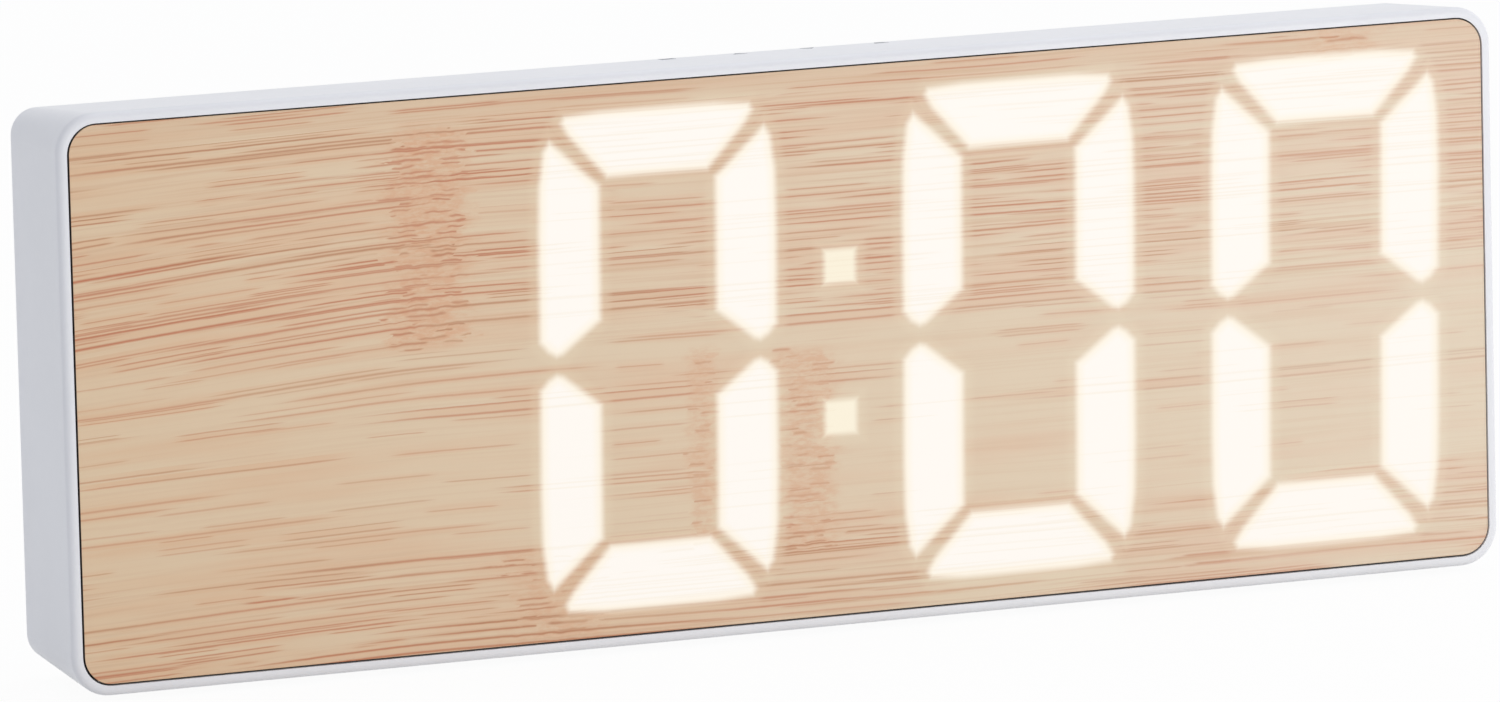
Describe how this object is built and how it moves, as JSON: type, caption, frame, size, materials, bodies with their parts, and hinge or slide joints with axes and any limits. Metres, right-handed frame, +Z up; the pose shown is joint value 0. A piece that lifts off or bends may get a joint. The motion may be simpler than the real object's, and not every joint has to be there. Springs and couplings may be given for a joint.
{
  "type": "digital led desk clock",
  "caption": "Shallow white desk clock whose LED digits shine through a wood-look front, with keys, a charging socket and a twist-lock battery door at the back.",
  "frame": {"origin": "centre of the object's box at the surface that it stands on", "axes": "+X to the right of someone facing the display, +Y to the clock's back, +Z up"},
  "size_m": [0.1598, 0.0186, 0.0599],
  "materials": {
    "white_plastic": "fine satin moulded",
    "wood_print": "matt film printed with bamboo grain, lit from behind by the digits",
    "smoked_acrylic": "smoked, polished",
    "black_foam": "black foam tape",
    "diffuser_film": "milky film",
    "reflector_plastic": "white moulded",
    "green_board": "solder mask",
    "led_resin": "clear yellowish resin",
    "plated_steel": "nickel plated",
    "chip_resin": "fine moulded",
    "tinned_metal": "tinned",
    "can_metal": "drawn can",
    "capacitor_can": "drawn can",
    "black_plastic": "moulded",
    "sensor_resin": "dipped bead",
    "ceramic_body": "fired ceramic",
    "socket_steel": "stamped, plated",
    "cell_steel": "polished can",
    "key_plastic": "satin moulded",
    "plunger_plastic": "moulded",
    "foot_silicone": "soft translucent white"
  },
  "bodies": {
    "clock_body": {"case_frame": "white_plastic", "rear_cover": "white_plastic", "wood_film": "wood_print", "front_lens": "smoked_acrylic", "panel_tape": "black_foam", "diffuser_sheet": "diffuser_film", "reflector_block": "reflector_plastic", "display_board": "green_board", "segment_leds": "led_resin", "board_screws": "plated_steel", "clock_chip": "chip_resin", "clock_chip_leads": "tinned_metal", "driver_chip": "chip_resin", "driver_chip_leads": "tinned_metal", "timing_crystal": "can_metal", "supply_capacitor": "capacitor_can", "capacitor_base": "black_plastic", "supply_regulator": "chip_resin", "regulator_leads": "tinned_metal", "alarm_buzzer": "black_plastic", "temperature_sensor": "sensor_resin", "chip_resistors": "chip_resin", "chip_capacitors": "ceramic_body", "socket_shell": "socket_steel", "socket_tongue": "black_plastic", "battery_holder": "black_plastic", "battery_plus_clip": "tinned_metal", "battery_minus_spring": "tinned_metal", "coin_cell": "cell_steel", "switch_bases": "black_plastic", "switch_plates": "tinned_metal", "cover_screws": "plated_steel", "foot_pads": "foot_silicone"},
    "mode_button": {"mode_key": "key_plastic", "mode_plunger": "plunger_plastic"},
    "up_button": {"up_key": "key_plastic", "up_plunger": "plunger_plastic"},
    "down_button": {"down_key": "key_plastic", "down_plunger": "plunger_plastic"},
    "alarm_button": {"alarm_key": "key_plastic", "alarm_plunger": "plunger_plastic"},
    "door_body": {"battery_door": "white_plastic"}
  },
  "joints": [
    {"name": "mode_press", "type": "slide", "parent": "clock_body", "child": "mode_button", "axis": [0, -1, 0], "range_m": [0, 0.0004], "stiffness_N_per_m": 2500},
    {"name": "up_press", "type": "slide", "parent": "clock_body", "child": "up_button", "axis": [0, -1, 0], "range_m": [0, 0.0004], "stiffness_N_per_m": 2500},
    {"name": "down_press", "type": "slide", "parent": "clock_body", "child": "down_button", "axis": [0, -1, 0], "range_m": [0, 0.0004], "stiffness_N_per_m": 2500},
    {"name": "alarm_press", "type": "slide", "parent": "clock_body", "child": "alarm_button", "axis": [0, -1, 0], "range_m": [0, 0.0004], "stiffness_N_per_m": 2500},
    {"name": "battery_door_turn", "type": "hinge", "parent": "clock_body", "child": "door_body", "pos_m": [0.05767, 0.0075, 0.0303], "axis": [0, 1, 0], "range_deg": [0, 45]}
  ]
}
